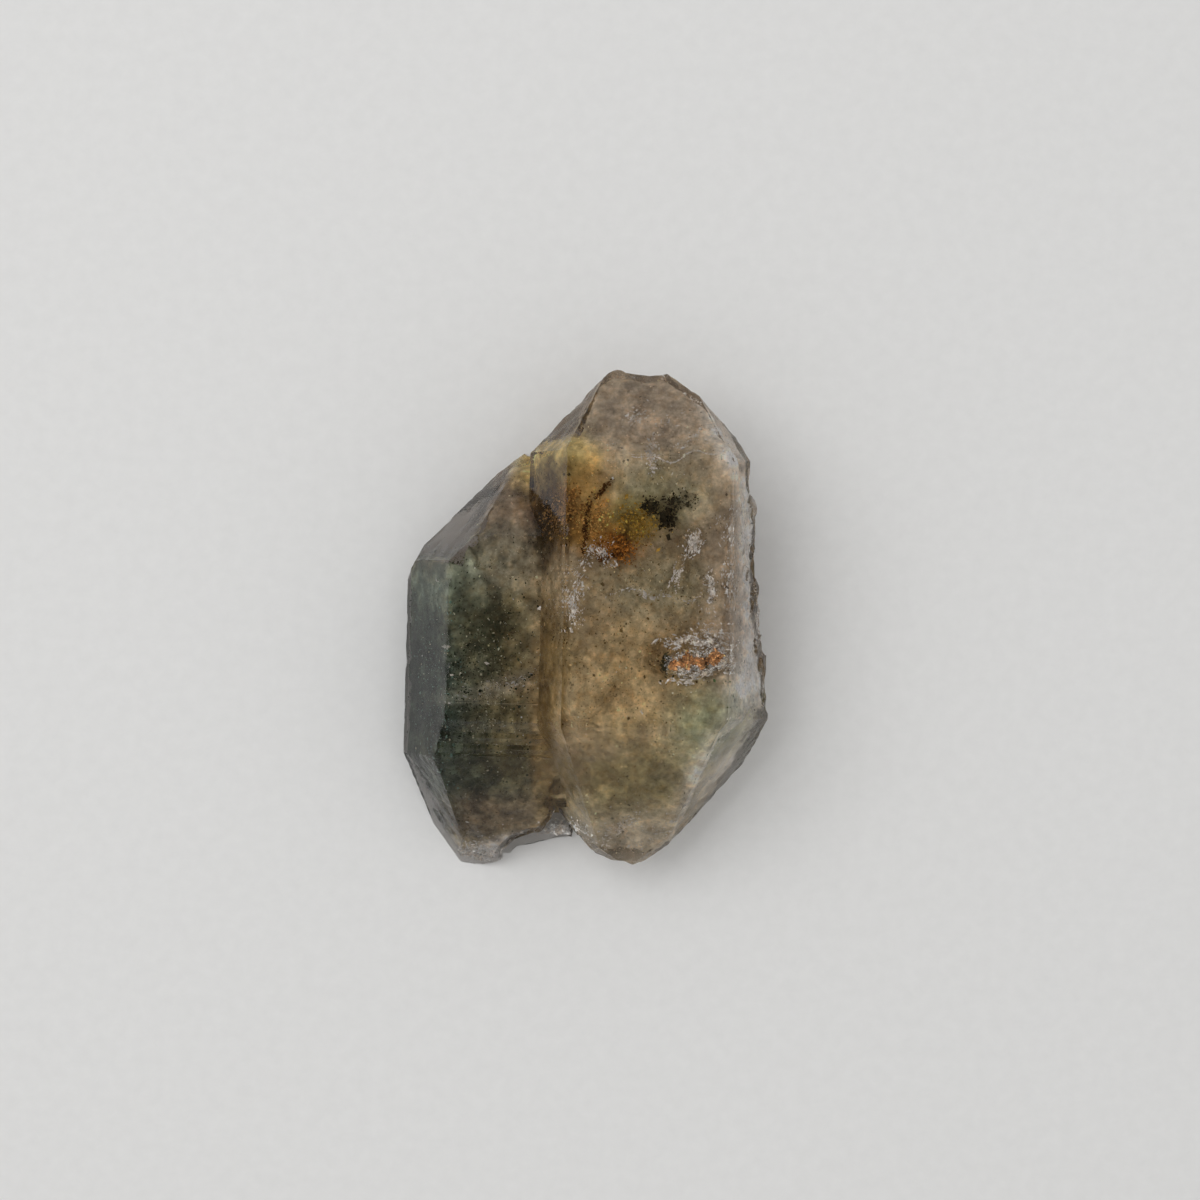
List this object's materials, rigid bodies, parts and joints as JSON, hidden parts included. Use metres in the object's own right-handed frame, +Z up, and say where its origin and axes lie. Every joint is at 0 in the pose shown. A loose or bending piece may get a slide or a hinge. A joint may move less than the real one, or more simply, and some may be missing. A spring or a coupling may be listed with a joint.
{
  "type": "garden quartz crystal",
  "caption": "Clear quartz crystals grown side by side, pointed at both ends, with mossy and earthy inclusions, a broken ledge and a rough flank, lying on flat prism faces.",
  "frame": {"origin": "middle of the bounding box in X and Y, on the flat underside that the specimen lies on", "axes": "+Y along the c axis that both crystals share, towards the long crystal's broken top; +Z up; +X towards the rough flank"},
  "size_m": [0.0266, 0.0368, 0.0124],
  "materials": {
    "clear_quartz": "clear with a faint smoky pink tint, glossy crystal faces with fine growth lines, rougher on the right flank",
    "mineral_inclusions": "dull mineral grains, flakes and clay in green, teal, tan, rust and black, sealed inside the quartz",
    "milky_veils": "milky healed cracks and broken quartz, dull to satin"
  },
  "bodies": {
    "root": {"garden_quartz": "clear_quartz"}
  },
  "joints": []
}
